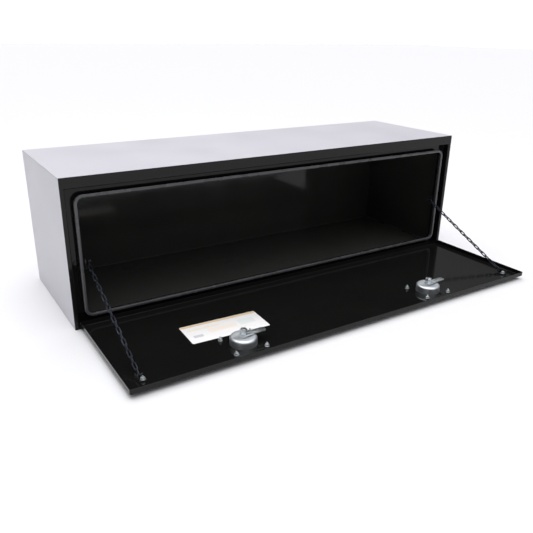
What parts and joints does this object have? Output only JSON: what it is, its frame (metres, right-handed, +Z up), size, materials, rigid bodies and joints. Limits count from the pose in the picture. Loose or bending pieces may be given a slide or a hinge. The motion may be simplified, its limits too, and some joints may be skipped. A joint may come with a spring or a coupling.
{
  "type": "truck tool box",
  "caption": "Long sheet-metal under-body truck tool box with a drop-down front door held level by check chains, a bulb seal, a continuous hinge and T-handle cam latches.",
  "frame": {"origin": "centre of the box's underside", "axes": "+X along the box to its right-hand end, seen from the front; +Y from the door side to the back; +Z up"},
  "size_m": [1.524, 0.877, 0.4572],
  "materials": {
    "shell_paint": "light silver-grey powder coat, satin gloss",
    "black_paint": "gloss black powder coat with a slight orange peel",
    "seal_rubber": "black EPDM bulb seal and gaskets, matt",
    "hinge_steel": "rolled steel with a satin black coating",
    "latch_steel": "pressed stainless steel, bright",
    "latch_casting": "cast zinc, chrome plated",
    "zinc_plate": "bright zinc-plated steel",
    "chain_steel": "welded link chain, dull zinc plated",
    "label_vinyl": "white vinyl sticker with a plain amber band"
  },
  "bodies": {
    "box": {"top_panel": "shell_paint", "bottom_panel": "shell_paint", "back_panel": "shell_paint", "left_end_panel": "shell_paint", "right_end_panel": "shell_paint", "front_frame_top": "black_paint", "front_frame_bottom": "black_paint", "front_frame_left": "black_paint", "front_frame_right": "black_paint", "door_seal": "seal_rubber", "hinge_fixed_leaf": "hinge_steel", "hinge_pin": "hinge_steel", "left_chain_bracket": "hinge_steel", "left_bracket_bolt": "hinge_steel", "left_upper_chain_pin": "hinge_steel", "right_chain_bracket": "hinge_steel", "right_bracket_bolt": "hinge_steel", "right_upper_chain_pin": "hinge_steel"},
    "door": {"door_skin": "black_paint", "door_lips": "black_paint", "hinge_moving_leaf": "hinge_steel", "door_label": "label_vinyl", "left_latch_cup": "latch_steel", "left_latch_gasket": "seal_rubber", "left_latch_bushing": "zinc_plate", "left_latch_bolt_1": "zinc_plate", "left_latch_bolt_2": "zinc_plate", "left_latch_bolt_3": "zinc_plate", "left_latch_bolt_4": "zinc_plate", "left_door_bracket": "hinge_steel", "left_door_bracket_bolt": "zinc_plate", "left_lower_chain_pin": "hinge_steel", "right_latch_cup": "latch_steel", "right_latch_gasket": "seal_rubber", "right_latch_bushing": "zinc_plate", "right_latch_bolt_1": "zinc_plate", "right_latch_bolt_2": "zinc_plate", "right_latch_bolt_3": "zinc_plate", "right_latch_bolt_4": "zinc_plate", "right_door_bracket": "hinge_steel", "right_door_bracket_bolt": "zinc_plate", "right_lower_chain_pin": "hinge_steel"},
    "left_spindle": {"left_latch_spindle": "latch_casting", "left_latch_cam": "zinc_plate", "left_cam_nut": "zinc_plate", "left_handle_pin": "zinc_plate"},
    "left_handle": {"left_latch_handle": "latch_casting"},
    "left_lock": {"left_lock_cylinder": "latch_casting"},
    "left_upper_chain": {"left_chain_upper_run": "chain_steel"},
    "left_lower_chain": {"left_chain_lower_run": "chain_steel"},
    "right_spindle": {"right_latch_spindle": "latch_casting", "right_latch_cam": "zinc_plate", "right_cam_nut": "zinc_plate", "right_handle_pin": "zinc_plate"},
    "right_handle": {"right_latch_handle": "latch_casting"},
    "right_lock": {"right_lock_cylinder": "latch_casting"},
    "right_upper_chain": {"right_chain_upper_run": "chain_steel"},
    "right_lower_chain": {"right_chain_lower_run": "chain_steel"}
  },
  "joints": [
    {"name": "door_hinge", "type": "hinge", "parent": "box", "child": "door", "pos_m": [0, -0.2336, 0.0064], "axis": [-1, 0, 0], "range_deg": [0, 90]},
    {"name": "left_latch_turn", "type": "hinge", "parent": "door", "child": "left_spindle", "pos_m": [-0.384, -0.5664, 0.03], "axis": [0, 0, -1], "range_deg": [0, 90]},
    {"name": "left_handle_fold", "type": "hinge", "parent": "left_spindle", "child": "left_handle", "pos_m": [-0.384, -0.5664, 0.0194], "axis": [0, -1, 0], "range_deg": [0, 90]},
    {"name": "left_lock_turn", "type": "hinge", "parent": "left_handle", "child": "left_lock", "pos_m": [-0.401, -0.5664, 0.0165], "axis": [0, 0, -1], "range_deg": [0, 90]},
    {"name": "left_upper_chain_swing", "type": "hinge", "parent": "box", "child": "left_upper_chain", "pos_m": [-0.7, -0.205, 0.2], "axis": [-1, 0, 0], "range_deg": [-95, 0.5]},
    {"name": "left_lower_chain_swing", "type": "hinge", "parent": "door", "child": "left_lower_chain", "pos_m": [-0.7, -0.5856, 0.0208], "axis": [-1, 0, 0], "range_deg": [-0.5, 26]},
    {"name": "right_latch_turn", "type": "hinge", "parent": "door", "child": "right_spindle", "pos_m": [0.344, -0.5664, 0.03], "axis": [0, 0, -1], "range_deg": [0, 90]},
    {"name": "right_handle_fold", "type": "hinge", "parent": "right_spindle", "child": "right_handle", "pos_m": [0.344, -0.5664, 0.0194], "axis": [0, -1, 0], "range_deg": [0, 90]},
    {"name": "right_lock_turn", "type": "hinge", "parent": "right_handle", "child": "right_lock", "pos_m": [0.327, -0.5664, 0.0165], "axis": [0, 0, -1], "range_deg": [0, 90]},
    {"name": "right_upper_chain_swing", "type": "hinge", "parent": "box", "child": "right_upper_chain", "pos_m": [0.7, -0.205, 0.2], "axis": [-1, 0, 0], "range_deg": [-95, 0.5]},
    {"name": "right_lower_chain_swing", "type": "hinge", "parent": "door", "child": "right_lower_chain", "pos_m": [0.7, -0.5856, 0.0208], "axis": [-1, 0, 0], "range_deg": [-0.5, 26]}
  ],
  "couplings": [
    {"joint": "left_upper_chain_swing", "follows": "door_hinge", "ratio": -1.05},
    {"joint": "left_lower_chain_swing", "follows": "door_hinge", "ratio": 0.28},
    {"joint": "right_upper_chain_swing", "follows": "door_hinge", "ratio": -1.05},
    {"joint": "right_lower_chain_swing", "follows": "door_hinge", "ratio": 0.28}
  ]
}
